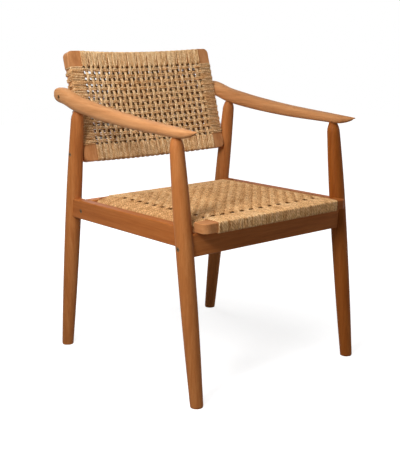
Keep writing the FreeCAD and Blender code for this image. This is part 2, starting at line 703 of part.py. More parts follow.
# Cord on the seat: a wrap round each bar, and the woven panel between the wraps
WRAP_ROUND = "(bar_round + cord_layer)"
front_sleeve = beam(
    "seat_front_sleeve", ("-" + SEAT_IN, SEAT_IN),
    ("%s - cord_layer" % SEAT_FRONT, "%s + cord_layer" % FRONT_BAR_BACK),
    (WRAP_LOW, WRAP_TOP), WRAP_ROUND, lambda edge: edge.CenterOfMass.y < value(SEAT_FRONT))
rear_sleeve = beam(
    "seat_rear_sleeve", ("-" + SEAT_IN, SEAT_IN),
    ("%s - cord_layer" % REAR_BAR_FRONT, "%s + cord_layer" % SEAT_REAR),
    (WRAP_LOW, WRAP_TOP), WRAP_ROUND, lambda edge: edge.CenterOfMass.y > value(SEAT_REAR))
seat_front_wrap = cut("seat_front_wrap", front_sleeve, [seat_front_blank])
seat_rear_wrap = cut("seat_rear_wrap", rear_sleeve, [seat_rear_blank])
side_sleeve = along_wrap("seat_side_sleeve", [
    (SLEEVE_IN, WRAP_LOW), (SLEEVE_OUT, WRAP_LOW), (SLEEVE_OUT, "%s - seat_side_fall" % WRAP_TOP),
    (SLEEVE_IN, WRAP_TOP)])
soften(side_sleeve, WRAP_ROUND, lambda edge: runs(edge, Y_AXIS) and edge.CenterOfMass.x > bar_middle)
left_seat_wrap = cut("seat_left_wrap", side_sleeve,
                     [side_bar_planed, front_sleeve, rear_sleeve, front_blank] + seat_screws_left)
seat_panel = box("seat_woven_panel", ("-(%s - cord_layer)" % SEAT_IN, "%s - cord_layer" % SEAT_IN),
                 ("%s + cord_layer" % FRONT_BAR_BACK, "%s - cord_layer" % REAR_BAR_FRONT),
                 ("%s - weave_deep" % WRAP_TOP, WRAP_TOP))

# Back frame, in its own frame: stiles run through, their outer faces let in where the cord passes
stile_blank = padded("back_stile_blank", "XZ_Plane", rectangle((BACK_IN, BACK_OUT), ("0", "back_tall")),
                     "back_thick", True)
stile_middle = value("(%s + %s) / 2" % (BACK_IN, BACK_OUT))
soften(stile_blank, "back_corner", lambda edge: runs(edge, Y_AXIS) and edge.CenterOfMass.x > stile_middle)
soften(stile_blank, "bar_round", lambda edge: not runs(edge, Y_AXIS)
       and edge.CenterOfMass.x > stile_middle - 1 and edge.BoundBox.YLength < 1e-3)
stile_let_in = cut("back_stile_let_in", stile_blank, [
    box("back_stile_step", (BACK_WRAPPED, "%s + cord_layer" % BACK_OUT),
        ("-cord_layer", "back_thick + cord_layer"), STILE_WRAP)])


def insert_nut(name, face, y, z):
    """Threaded insert let into a stile from its outer face, as a pair, with the hole for it."""
    span = ("%s - insert_long" % face, face)
    blank = rod_x(name + "_blank", "insert_dia", span, y, z)
    through = ("%s - bolt_tip" % span[0], "%s + bolt_tip" % span[1])
    bore = rod_x(name + "_bore", "bolt_dia + 2 * bolt_fit", through, y, z)
    left = cut(name + "_left", blank, [bore])
    hole = rod_x(name + "_hole", "insert_dia", (span[0], "%s + cord_layer" % span[1]), y, z)
    return on_back(group(name, [left, mirror(name + "_right", left)])), hole, bore


arm_inserts, arm_insert_hole, arm_insert_bore = insert_nut(
    "arm_bolt_inserts", BACK_WRAPPED, "arm_bolt_in", "arm_bolt_up")
back_inserts, back_insert_hole, back_insert_bore = insert_nut(
    "back_bolt_inserts", BACK_OUT, "back_bolt_in", "back_bolt_up")
stile_holes = [arm_insert_hole, arm_insert_bore, back_insert_hole, back_insert_bore]
left_stile = on_back(cut("back_left_stile", stile_let_in, stile_holes + back_top_holes + back_bottom_holes))


def bowed_bar(name, up, through, radius=None, wanted=None):
    """Bar of the back between the stiles, bowed to the rear in one arc, with the picked edges rounded."""
    body = doc.addObject("PartDesign::Body", name)
    sketch = new_sketch(body, "XY_Plane")
    front, rear = through
    corners = [(BACK_IN, front), (BACK_IN, rear), ("-" + BACK_IN, rear), ("-" + BACK_IN, front)]
    for first, last in ((0, 1), (2, 3)):
        sketch.addGeometry(Part.LineSegment(spot(corners[first]), spot(corners[last])), False)
    for first, last in ((0, 3), (1, 2)):
        crest = Vector(0, value("%s + back_bow" % corners[first][1]), 0)
        sketch.addGeometry(Part.Arc(spot(corners[first]), crest, spot(corners[last])), False)
    left, right, front_arc, rear_arc = range(4)
    joins = ((left, 1, front_arc, 1), (left, 2, rear_arc, 1),
             (right, 1, rear_arc, 2), (right, 2, front_arc, 2))
    for join in joins:
        sketch.addConstraint(Sketcher.Constraint("Coincident", *join))
    for line, end, corner in ((left, 1, 0), (left, 2, 1), (right, 1, 2), (right, 2, 3)):
        pin(sketch, line, end, *corners[corner])
    bend = "((%s)^2 + back_bow^2) / (2 * back_bow)" % BACK_IN
    for arc in (front_arc, rear_arc):
        index = sketch.addConstraint(Sketcher.Constraint("Radius", arc, value(bend)))
        bind(sketch, "Constraints[%d]" % index, bend)
    draw_out(body, sketch, "(%s) - (%s)" % (up[1], up[0]), False)
    place(body, "0", "0", up[0])
    if radius is None:
        return body
    middle = value("((%s) - (%s)) / 2" % (up[1], up[0]))
    return soften(body, radius, lambda edge: edge.Curve.TypeId == "Part::GeomCircle"
                  and wanted(edge.CenterOfMass.z - middle))


def upper_edge(rise):
    return rise > 0


def lower_edge(rise):
    return rise < 0


BACK_WRAP_FACE = ("-cord_layer", "back_thick + cord_layer")
TOP_BAR = (TOP_BAR_LOW, "(back_tall - cord_layer)")
TOP_SLEEVE = ("(%s - cord_layer)" % TOP_BAR_LOW, "back_tall")
BOTTOM_SLEEVE = ("0", "(back_rail + cord_layer)")
top_blank = bowed_bar("back_top_blank", TOP_BAR, BACK_FACE)
bottom_blank = bowed_bar("back_bottom_blank", BOTTOM_BAR, BACK_FACE)
back_top_bar = on_back(cut("back_top_bar", top_blank, both_sides(back_top_holes)))
back_bottom_bar = on_back(cut("back_bottom_bar", bottom_blank, both_sides(back_bottom_holes)))

# Cord on the back: a wrap round each bar, and an open net between the wraps on each face
top_sleeve = bowed_bar("back_top_sleeve", TOP_SLEEVE, BACK_WRAP_FACE, WRAP_ROUND, upper_edge)
bottom_sleeve = bowed_bar("back_bottom_sleeve", BOTTOM_SLEEVE, BACK_WRAP_FACE, WRAP_ROUND, lower_edge)
back_top_wrap = on_back(cut("back_top_wrap", top_sleeve, [top_blank]))
back_bottom_wrap = on_back(cut("back_bottom_wrap", bottom_sleeve, [bottom_blank]))
stile_sleeve = box("back_stile_sleeve", ("%s - cord_layer" % BACK_IN, BACK_OUT), BACK_WRAP_FACE, STILE_WRAP)
left_stile_wrap = on_back(cut("back_left_wrap", stile_sleeve, [stile_let_in, arm_insert_hole]))


def flat_net():
    """Open weave as one holed face, drawn out through the whole depth of the back."""
    half = value("%s - cord_layer" % BACK_IN)
    low = value(BOTTOM_SLEEVE[1])
    high = value(TOP_SLEEVE[0])
    front = value("-2 * cord_layer")
    strand = value("net_strand")
    spans = 2 * half, high - low
    pitches = value("net_pitch_x"), value("net_pitch_z")
    counts = [max(1, math.floor((span - strand) / pitch)) for span, pitch in zip(spans, pitches)]
    rims = [(span - count * pitch + strand) / 2 for span, count, pitch in zip(spans, counts, pitches)]

    def frame_wire(x, z, wide, tall):
        corners = [Vector(x, front, z), Vector(x + wide, front, z), Vector(x + wide, front, z + tall)]
        corners += [Vector(x, front, z + tall), corners[0]]
        return Part.makePolygon(corners)

    outline = frame_wire(-half, low, spans[0], spans[1])
    gaps = [frame_wire(-half + rims[0] + column * pitches[0], low + rims[1] + row * pitches[1],
                       pitches[0] - strand, pitches[1] - strand)
            for column in range(counts[0]) for row in range(counts[1])]
    face = Part.Face([outline] + gaps, "Part::FaceMakerCheese")
    return face.extrude(Vector(0, value("back_thick + back_bow + 4 * cord_layer"), 0))


weave = doc.addObject("Part::Feature", "back_weave")
weave.Shape = flat_net()


def back_net(name, front):
    """What of the weave lies in one bowed layer, two crossing cords deep from its front."""
    layer = bowed_bar(name + "_layer", ("0", "back_tall"), (front, "%s + weave_deep" % front))
    net = doc.addObject("Part::MultiCommon", name)
    net.Shapes = [weave, layer]
    return on_back(net)


back_panel = back_net("back_woven_panel", "-cord_layer")
back_rear_panel = back_net("back_rear_panel", "back_thick + cord_layer - weave_deep")


# Armrests: a loft through rounded sections across Y
def along_arm(stations, y):
    """Smooth curve through (y, value) stations that are listed from the rear to the front."""
    slopes = [(b[1] - a[1]) / (b[0] - a[0]) for a, b in zip(stations, stations[1:])]
    middle = [(before + after) / 2 for before, after in zip(slopes, slopes[1:])]
    tangents = [slopes[0]] + middle + [slopes[-1]]
    index = next((i for i, station in enumerate(stations[1:]) if y >= station[0]), len(slopes) - 1)
    (start, first), (end, last) = stations[index], stations[index + 1]
    span = end - start
    part = (y - start) / span
    return ((1 + 2 * part) * (1 - part) ** 2 * first + part * (1 - part) ** 2 * span * tangents[index]
            + part ** 2 * (3 - 2 * part) * last + part ** 2 * (part - 1) * span * tangents[index + 1])


# Where the sections stand: as parts of the tail and of the prow, and in steps between the two
TAIL_PARTS = (0.998, 0.98, 0.92, 0.78, 0.55, 0.28)
PROW_PARTS = (0.25, 0.5, 0.7, 0.85, 0.95, 1)
BODY_STEPS = 9
QUARTER_STEPS = 5


def arm_blank():
    """Arm with a round tail behind its bolt and a pointed prow ahead of the front leg."""
    bolt_y = value(ARM_BOLT_Y)
    rear = value("rear_neck_y")
    front = -value("front_neck_y")
    middle = (rear + front) / 2
    tail = value("arm_tail")
    prow = value("arm_prow")
    oval = value("arm_oval")
    tip = value("arm_tip")
    rear_tall = value("arm_rear_tall")
    bolt_low = value("%s + arm_bolt_drop - arm_rear_tall / 2" % ARM_BOLT_Z)
    low = [(bolt_y, bolt_low), (rear, value("rear_neck_z")), (middle, value("arm_mid_low")),
           (front, value("front_neck_z"))]
    talls = (rear_tall, rear_tall, value("arm_mid_tall"), value("arm_front_tall"))
    top = [(y, z + tall) for (y, z), tall in zip(low, talls)]
    top.append((front - prow, top[-1][1] - value("arm_tip_drop")))
    wide = [(bolt_y, value(ARM_REAR_WIDE)), (rear, value(ARM_REAR_WIDE)), (middle, value("arm_mid_wide")),
            (front, value("arm_front_wide"))]
    tail_middle = bolt_low + rear_tall / 2
    tail_rise = (top[0][1] - top[1][1]) / (bolt_y - rear) / 2
    sections = []
    for part in TAIL_PARTS:
        height = (1 - part ** oval) ** (1 / oval)
        width = (1 - part ** 4) ** 0.5
        centre = tail_middle + tail_rise * tail * part
        sections.append((bolt_y + tail * part, centre, rear_tall / 2 * height, wide[0][1] / 2 * width))
    for step in range(BODY_STEPS + 1):
        y = bolt_y + (front - bolt_y) * step / BODY_STEPS
        high, under = along_arm(top, y), along_arm(low, y)
        sections.append((y, (high + under) / 2, (high - under) / 2, along_arm(wide, y) / 2))
    for part in PROW_PARTS:
        y = front - prow * part
        tall = max(tip, talls[-1] * (1 - part ** 2) ** 0.8)
        width = max(tip, wide[-1][1] * (1 - part ** 1.8) ** 0.9)
        sections.append((y, along_arm(top, y) - tall / 2, tall / 2, width / 2))
    return Part.makeLoft([arm_section(*section) for section in sections], True, False)


def arm_section(y, centre, half_tall, half_wide):
    """Rounded outline across the arm: a squared-off oval in four quarters that run on smoothly."""
    power = 2 / value("arm_oval")
    middle = Vector(value("side_half"), y, centre)
    quarters = []
    for right, up in ((1, 1), (-1, 1), (-1, -1), (1, -1)):
        points = []
        for step in range(QUARTER_STEPS + 1):
            angle = math.pi / 2 * step / QUARTER_STEPS
            across = max(0, math.cos(angle)) ** power * half_wide * right
            rise = max(0, math.sin(angle)) ** power * half_tall * up
            points.append(middle + Vector(across, 0, rise))
        tangents = [Vector(0, 0, up), Vector(-right, 0, 0)]
        if right != up:
            points.reverse()
            tangents = [Vector(right, 0, 0), Vector(0, 0, -up)]
        curve = Part.BSplineCurve()
        curve.interpolate(Points=points, InitialTangent=tangents[0], FinalTangent=tangents[1])
        quarters.append(curve.toShape())
    return Part.Wire(quarters)


arm_whole = doc.addObject("Part::Feature", "arm_blank")
arm_whole.Shape = arm_blank()
left_armrest = cut("left_armrest", arm_whole, [front_blank, rear_blank, arm_bore])

# The sub-parts: those of the left side are repeated on the right
PAIRS = {
    "left_front_leg": left_front_leg,
    "left_rear_leg": left_rear_leg,
    "left_armrest": left_armrest,
    "left_side_rail": left_side_rail,
    "left_seat_cleat": left_cleat,
    "seat_left_bar": left_seat_bar,
    "seat_left_wrap": left_seat_wrap,
    "back_left_stile": left_stile,
    "back_left_wrap": left_stile_wrap,
}
SINGLES = [
    front_rail, rear_rail, seat_front_bar, seat_rear_bar, seat_front_wrap, seat_rear_wrap, seat_panel,
    back_top_bar, back_bottom_bar, back_top_wrap, back_bottom_wrap, back_panel, back_rear_panel,
    front_dowels, rear_dowels, seat_front_dowels, seat_rear_dowels, back_top_dowels, back_bottom_dowels,
    arm_bolts, back_bolts, rear_bolts, front_bolts, arm_inserts, back_inserts, front_barrels, rear_barrels,
    cleat_screws, seat_screws,
]
nodes = {}
for name, piece in PAIRS.items():
    nodes[name] = piece
    nodes[name.replace("left", "right")] = mirror(name.replace("left", "right"), piece)
for piece in SINGLES:
    nodes[piece.Name] = piece
for name, piece in nodes.items():
    piece.Label = name
doc.recompute()

for thing in doc.Objects:
    if "Invalid" in thing.State or "Error" in thing.State:
        raise RuntimeError("%s did not recompute: %s" % (thing.Name, thing.State))
for name, piece in nodes.items():
    if piece.Shape.isNull() or not piece.Shape.isValid() or not piece.Shape.Solids:
        raise RuntimeError("%s has no valid solid" % name)

os.makedirs("parts", exist_ok=True)
for name, piece in nodes.items():
    piece.Shape.exportStep("parts/%s.step" % name)
print("%d nodes" % len(nodes))
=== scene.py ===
import math
import random

import bpy
import numpy as np
from mathutils import Matrix, Vector


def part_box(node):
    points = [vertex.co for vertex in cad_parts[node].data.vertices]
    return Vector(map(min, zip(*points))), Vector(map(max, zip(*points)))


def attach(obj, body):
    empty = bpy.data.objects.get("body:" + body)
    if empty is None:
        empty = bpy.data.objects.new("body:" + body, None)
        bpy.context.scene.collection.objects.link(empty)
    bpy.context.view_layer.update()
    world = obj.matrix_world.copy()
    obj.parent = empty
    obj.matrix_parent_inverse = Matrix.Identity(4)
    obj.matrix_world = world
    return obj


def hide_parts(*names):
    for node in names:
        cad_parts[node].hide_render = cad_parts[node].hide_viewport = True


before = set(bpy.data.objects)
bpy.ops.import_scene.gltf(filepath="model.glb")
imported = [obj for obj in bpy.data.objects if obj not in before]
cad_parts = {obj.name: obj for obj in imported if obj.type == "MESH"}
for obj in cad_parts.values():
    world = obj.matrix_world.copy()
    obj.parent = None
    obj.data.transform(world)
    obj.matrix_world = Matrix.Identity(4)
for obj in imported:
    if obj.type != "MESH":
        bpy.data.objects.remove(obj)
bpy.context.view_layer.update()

MM = 0.001
scene = bpy.context.scene
dice = random.Random(11)


# Small helpers for shader trees
class Tree:
    """A material's node tree, with short ways to add and join nodes."""

    def __init__(self, name):
        self.material = bpy.data.materials.new(name)
        self.material.use_nodes = True
        self.nodes = self.material.node_tree.nodes
        self.links = self.material.node_tree.links
        self.shader = self.nodes["Principled BSDF"]

    def add(self, kind, **settings):
        node = self.nodes.new(kind)
        for key, setting in settings.items():
            setattr(node, key, setting)
        return node

    def join(self, source, target):
        self.links.new(source, target)

    def fill(self, socket, source):
        """Set a socket to a number or colour, or join it to an output."""
        if isinstance(source, bpy.types.NodeSocket):
            self.links.new(source, socket)
        else:
            socket.default_value = source

    def math(self, operation, first, second=0.0):
        node = self.add("ShaderNodeMath", operation=operation)
        self.fill(node.inputs[0], first)
        self.fill(node.inputs[1], second)
        return node.outputs[0]

    def spread(self, source, low, high, to_low, to_high):
        node = self.add("ShaderNodeMapRange")
        for socket, number in zip(node.inputs[:5], (source, low, high, to_low, to_high)):
            self.fill(socket, number)
        return node.outputs[0]

    def mix(self, factor, first, second, blend="MIX"):
        node = self.add("ShaderNodeMix", data_type="RGBA", blend_type=blend)
        self.fill(node.inputs[0], factor)
        self.fill(node.inputs[6], first)
        self.fill(node.inputs[7], second)
        return node.outputs[2]

    def noise(self, vector, scale, detail=4.0, rough=0.5):
        node = self.add("ShaderNodeTexNoise")
        self.fill(node.inputs["Vector"], vector)
        node.inputs["Scale"].default_value = scale
        node.inputs["Detail"].default_value = detail
        node.inputs["Roughness"].default_value = rough
        return node.outputs["Fac"]

    def ramp(self, factor, stops):
        node = self.add("ShaderNodeValToRGB")
        ramp = node.color_ramp
        while len(ramp.elements) < len(stops):
            ramp.elements.new(0.5)
        for element, (place, colour) in zip(ramp.elements, stops):
            element.position = place
            element.color = colour
        self.fill(node.inputs[0], factor)
        return node.outputs[0]

    def bump(self, height, distance, strength=1.0, after=None):
        node = self.add("ShaderNodeBump")
        node.inputs["Distance"].default_value = distance
        node.inputs["Strength"].default_value = strength
        self.fill(node.inputs["Height"], height)
        if after is not None:
            self.fill(node.inputs["Normal"], after)
        return node.outputs[0]


def colour(red, green, blue):
    """A colour written as it shows on a screen, 0 to 255, as linear light."""
    def linear(level):
        level /= 255
        return level / 12.92 if level <= 0.04045 else ((level + 0.055) / 1.055) ** 2.4
    return (linear(red), linear(green), linear(blue), 1.0)


BLACK, WHITE = (0, 0, 0, 1), (1, 1, 1, 1)

# Wood: how far its grain is drawn out, the fineness of its figures in waves per metre, its gloss and relief
GRAIN_DRAWN = 0.055
BROAD_FIGURE, BAND_FIGURE, FINE_FIGURE, PORE_FIGURE, BLOTCH_FIGURE = 34.0, 150.0, 620.0, 1500.0, 7.0
WOOD_GLOSS = 0.07
WOOD_RELIEF = 0.00025

# Cord: plies and mottle by the metre, how far apart the mottles of two cords are taken, the fineness of its
# fibres and of its drift in tone, and what each adds to its tone; then how dark the grooves (painted shade),
# fibres, mottle and painted shade on hidden skin are, its gloss and its relief
PLY_PER_METRE = 125.0
MOTTLE_PER_METRE = 85.0
MOTTLE_APART = 60.0
FIBRE_FIGURE, DRIFT_FIGURE = 900.0, 22.0
TONE_SHARE, MOTTLE_SHARE, DRIFT_SHARE = 0.36, 0.44, 0.2
GROOVE_SHADE, FIBRE_SHADE, MOTTLE_SHADE, PAINTED_SHADE_DARKEST = 0.45, 0.86, 0.62, 0.3
# The shade ramp turns warm towards its dark end: painted light bounced into the shade.
SHADE_LOW, SHADE_MID = (0.12, 0.05, 0.02, 1), (0.52, 0.41, 0.31, 1)
SHADE_STOPS = [(0.0, SHADE_LOW), (0.45, SHADE_MID), (1.0, WHITE)]
CORD_GLOSS = 0.1
GROOVE_DEEP, FIBRE_DEEP = 0.0006, 0.0002

# Metal: fineness of its tarnish and its scratches, and how deep these are
TARNISH_FIGURE, SCRATCH_FIGURE = 260.0, 2400.0
SCRATCH_DEEP = 0.00005


def wood(name, grain, pale, mid, dark):
    """Oiled hardwood whose grain runs along one axis of the chair."""
    tree = Tree(name)
    place = tree.add("ShaderNodeTexCoord").outputs["Object"]
    squeeze = tree.add("ShaderNodeMapping")
    squeeze.inputs["Scale"].default_value = tuple(GRAIN_DRAWN if axis == grain else 1.0 for axis in "xyz")
    tree.join(place, squeeze.inputs["Vector"])
    along = squeeze.outputs[0]
    broad = tree.noise(along, BROAD_FIGURE, 3.0, 0.5)
    bands = tree.noise(along, BAND_FIGURE, 4.0, 0.6)
    fine = tree.noise(along, FINE_FIGURE, 3.0, 0.6)
    pores = tree.noise(along, PORE_FIGURE, 2.0, 0.5)
    blotch = tree.noise(place, BLOTCH_FIGURE, 2.0, 0.5)
    figure = tree.math("ADD", tree.math("MULTIPLY", broad, 0.5), tree.math("MULTIPLY", bands, 0.5))
    tint = tree.ramp(figure, [(0.3, dark), (0.5, mid), (0.72, pale)])
    streak = tree.spread(fine, 0.35, 0.65, 0.9, 1.06)
    tint = tree.mix(1.0, tint, tree.ramp(streak, [(0.0, BLACK), (1.0, WHITE)]), "MULTIPLY")
    pits = tree.spread(pores, 0.6, 0.72, 0.0, 0.35)
    tint = tree.mix(pits, tint, dark)
    tint = tree.mix(tree.spread(blotch, 0.35, 0.7, 0.0, 0.25), tint, mid)
    tree.join(tint, tree.shader.inputs["Base Color"])
    tree.join(tree.spread(bands, 0.3, 0.7, 0.44, 0.56), tree.shader.inputs["Roughness"])
    tree.shader.inputs["Specular IOR Level"].default_value = WOOD_GLOSS
    relief = tree.math("ADD", tree.math("MULTIPLY", fine, 0.5), tree.math("MULTIPLY", pores, 0.5))
    tree.join(tree.bump(relief, WOOD_RELIEF, 0.35), tree.shader.inputs["Normal"])
    return tree.material


def cord_material(name, pale, mid, dark):
    """Twisted paper cord: painted shade in the grooves between its plies and on hidden skin, mottled along
    its length.
    """
    tree = Tree(name)
    uv = tree.add("ShaderNodeUVMap", uv_map="Lay")
    split = tree.add("ShaderNodeSeparateXYZ")
    tree.join(uv.outputs[0], split.inputs[0])
    along, around = split.outputs[0], split.outputs[1]
    tone = tree.add("ShaderNodeAttribute", attribute_name="tone").outputs["Fac"]
    place = tree.add("ShaderNodeTexCoord").outputs["Object"]
    twice_around = tree.math("MULTIPLY", around, 2.0)
    turns = tree.math("ADD", tree.math("MULTIPLY", along, PLY_PER_METRE), twice_around)
    groove = tree.math("ABSOLUTE", tree.math("SINE", tree.math("MULTIPLY", turns, math.pi)))
    fibre = tree.noise(place, FIBRE_FIGURE, 3.0, 0.6)
    lengthwise = tree.add("ShaderNodeCombineXYZ")
    tree.join(tree.math("MULTIPLY", along, MOTTLE_PER_METRE), lengthwise.inputs[0])
    tree.join(twice_around, lengthwise.inputs[1])
    tree.join(tree.math("MULTIPLY", tone, MOTTLE_APART), lengthwise.inputs[2])
    mottle = tree.noise(lengthwise.outputs[0], 1.0, 2.0, 0.6)
    drift = tree.noise(place, DRIFT_FIGURE, 2.0, 0.5)
    level = tree.math("MULTIPLY", tone, TONE_SHARE)
    level = tree.math("ADD", level, tree.math("MULTIPLY", mottle, MOTTLE_SHARE))
    level = tree.math("ADD", level, tree.math("MULTIPLY", drift, DRIFT_SHARE))
    tint = tree.ramp(level, [(0.26, dark), (0.5, mid), (0.74, pale)])
    shade = tree.spread(groove, 0.0, 0.55, GROOVE_SHADE, 1.0)
    shade = tree.math("MULTIPLY", shade, tree.spread(fibre, 0.3, 0.7, FIBRE_SHADE, 1.0))
    shade = tree.math("MULTIPLY", shade, tree.spread(mottle, 0.34, 0.6, MOTTLE_SHADE, 1.0))
    # Painted shade from the mesh's attribute: darker where a cord lies hidden below or inside the weave.
    painted_shade = tree.add("ShaderNodeAttribute", attribute_name="painted_shade").outputs["Fac"]
    shade = tree.math("MULTIPLY", shade, tree.spread(painted_shade, 0.0, 1.0, 1.0, PAINTED_SHADE_DARKEST))
    tint = tree.mix(1.0, tint, tree.ramp(shade, SHADE_STOPS), "MULTIPLY")
    tree.join(tint, tree.shader.inputs["Base Color"])
    tree.join(tree.spread(fibre, 0.3, 0.7, 0.6, 0.78), tree.shader.inputs["Roughness"])
    tree.shader.inputs["Specular IOR Level"].default_value = CORD_GLOSS
    lay = tree.bump(groove, GROOVE_DEEP, 0.9)
    tree.join(tree.bump(fibre, FIBRE_DEEP, 0.4, lay), tree.shader.inputs["Normal"])
    return tree.material


def metal(name, base, worn, rough, metallic=1.0):
    """Turned metal with fine scratches and a little tarnish."""
    tree = Tree(name)
    place = tree.add("ShaderNodeTexCoord").outputs["Object"]
    tarnish = tree.noise(place, TARNISH_FIGURE, 4.0, 0.6)
    scratch = tree.noise(place, SCRATCH_FIGURE, 2.0, 0.5)
    tint = tree.mix(tree.spread(tarnish, 0.35, 0.7, 0.0, 1.0), base, worn)
    tree.join(tint, tree.shader.inputs["Base Color"])
    tree.shader.inputs["Metallic"].default_value = metallic
    tree.join(tree.spread(scratch, 0.3, 0.7, rough - 0.06, rough + 0.1), tree.shader.inputs["Roughness"])
    tree.join(tree.bump(scratch, SCRATCH_DEEP, 0.4), tree.shader.inputs["Normal"])
    return tree.material


# Tones of the wood. 'far' is a darker copy, painted shade on the left front leg and the left seat bar where
# they stand in shadow; 'front' is a paler, redder copy, painted light on the front and rear rails, which the
# seat shades
WOOD_TONES = {
    "arm": (colour(217, 166, 116), colour(197, 138, 89), colour(168, 111, 67)),
    "frame": (colour(210, 155, 106), colour(190, 129, 80), colour(162, 102, 61)),
    "leg": (colour(198, 131, 76), colour(179, 110, 58), colour(153, 88, 43)),
    "far": (colour(172, 103, 48), colour(152, 83, 31), colour(128, 63, 19)),
    "rail": (colour(188, 118, 65), colour(170, 98, 46), colour(145, 77, 32)),
    "front": (colour(209, 135, 78), colour(191, 115, 59), colour(165, 93, 45)),
}
dowel_wood = wood("dowel_wood", "x", colour(226, 192, 146), colour(208, 170, 122), colour(178, 138, 92))
cord = cord_material("paper_cord", colour(255, 223, 175), colour(248, 199, 140), colour(207, 150, 92))
bolt_metal = metal("bronzed_steel", colour(122, 88, 44), colour(82, 56, 27), 0.45, 0.3)
nut_metal = metal("plain_brass", colour(206, 170, 96), colour(172, 134, 70), 0.34)
screw_metal = metal("zinc_steel", colour(176, 176, 172), colour(138, 138, 136), 0.38)

# Wooden pieces by their tone and the axis of their grain; the 'far' and 'front' tones are painted shade and
# painted light, not the wood's own
GRAIN = {
    ("front", "x"): ["front_rail", "rear_rail"],
    ("frame", "x"): ["seat_front_bar", "seat_rear_bar", "back_top_bar", "back_bottom_bar"],
    ("arm", "y"): ["left_armrest", "right_armrest"],
    ("rail", "y"): ["left_side_rail", "right_side_rail", "left_seat_cleat", "right_seat_cleat"],
    ("frame", "y"): ["seat_right_bar"],
    ("far", "y"): ["seat_left_bar"],
    ("leg", "z"): ["right_front_leg", "left_rear_leg", "right_rear_leg"],
    ("far", "z"): ["left_front_leg"],
    ("frame", "z"): ["back_left_stile", "back_right_stile"],
}
finish = {}
for (tone, axis), names in GRAIN.items():
    material = wood("oiled_wood_%s_%s" % (tone, axis), axis, *WOOD_TONES[tone])
    finish.update({node: material for node in names})
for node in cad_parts:
    if node.endswith("dowels"):
        finish[node] = dowel_wood
    elif node.endswith("bolts"):
        finish[node] = bolt_metal
    elif node.endswith("inserts") or node.endswith("nuts"):
        finish[node] = nut_metal
    elif node.endswith("screws"):
        finish[node] = screw_metal
for node, material in finish.items():
    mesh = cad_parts[node].data
    mesh.materials.clear()
    mesh.materials.append(material)


# Cord as tubes along drawn paths: scatter of its thickness as a share, and of where its lay starts in
# millimetres
THICK_SCATTER = 0.04
LAY_SCATTER = 10


def tubes(name, paths, side, radius, closed, tone_low, tone_high, painted_shade_of, sides=6):
    """One mesh of many cords. Each path is an array of points; side is the way across the family of cords,
    and the tones are the darkest and the palest of them. Painted_shade_of gives the painted shade of each
    point of a cord's skin, from the path and from the ways out to its skin."""
    across = np.array(side, float)
    points, faces, marks, tones, painted_shade = [], [], [], [], []
    count = 0
    angles = 2 * np.pi * np.arange(sides) / sides
    for path in paths:
        path = np.asarray(path, float)
        number = len(path)
        if closed:
            ahead = np.roll(path, -1, 0) - np.roll(path, 1, 0)
        else:
            ahead = np.gradient(path, axis=0)
        ahead /= np.linalg.norm(ahead, axis=1)[:, None]
        level = across - ahead * (ahead @ across)[:, None]
        level /= np.linalg.norm(level, axis=1)[:, None]
        rise = np.cross(ahead, level)
        thick = radius * (1 + dice.uniform(-THICK_SCATTER, THICK_SCATTER))
        outward = (np.cos(angles)[None, :, None] * level[:, None]
                   + np.sin(angles)[None, :, None] * rise[:, None])
        points.append((path[:, None] + thick * outward).reshape(-1, 3))
        painted_shade.append(painted_shade_of(path, outward).ravel())
        steps = np.linalg.norm(np.diff(path, axis=0, append=path[:1]), axis=1)
        lengths = np.concatenate([[0], np.cumsum(steps)]) + dice.random() * LAY_SCATTER
        rows = number if closed else number - 1
        for row in range(rows):
            after = (row + 1) % number
            for spoke in range(sides):
                beside = (spoke + 1) % sides
                faces.append((count + row * sides + spoke, count + row * sides + beside,
                              count + after * sides + beside, count + after * sides + spoke))
                low, high = spoke / sides, (spoke + 1) / sides
                marks += [(lengths[row], low), (lengths[row], high),
                          (lengths[row + 1], high), (lengths[row + 1], low)]
        if not closed:
            faces.append(tuple(count + spoke for spoke in reversed(range(sides))))
            faces.append(tuple(count + (number - 1) * sides + spoke for spoke in range(sides)))
            marks += [(0.0, 0.0)] * (2 * sides)
        tones.append(np.full(number * sides, dice.uniform(tone_low, tone_high)))
        count += number * sides
    mesh = bpy.data.meshes.new(name)
    mesh.from_pydata(np.concatenate(points) * MM, [], faces)
    lay = mesh.uv_layers.new(name="Lay")
    lay.data.foreach_set("uv", (np.array(marks) * (MM, 1)).ravel())
    tone = mesh.attributes.new("tone", "FLOAT", "POINT")
    tone.data.foreach_set("value", np.concatenate(tones))
    shade = mesh.attributes.new("painted_shade", "FLOAT", "POINT")
    shade.data.foreach_set("value", np.concatenate(painted_shade))
    mesh.polygons.foreach_set("use_smooth", [True] * len(faces))
    mesh.materials.append(cord)
    mesh.update()
    piece = bpy.data.objects.new(name, mesh)
    scene.collection.objects.link(piece)
    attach(piece, "root")
    return piece


# Most of a straight run that the rounding of one corner may take
MOST_OF_RUN = 0.45


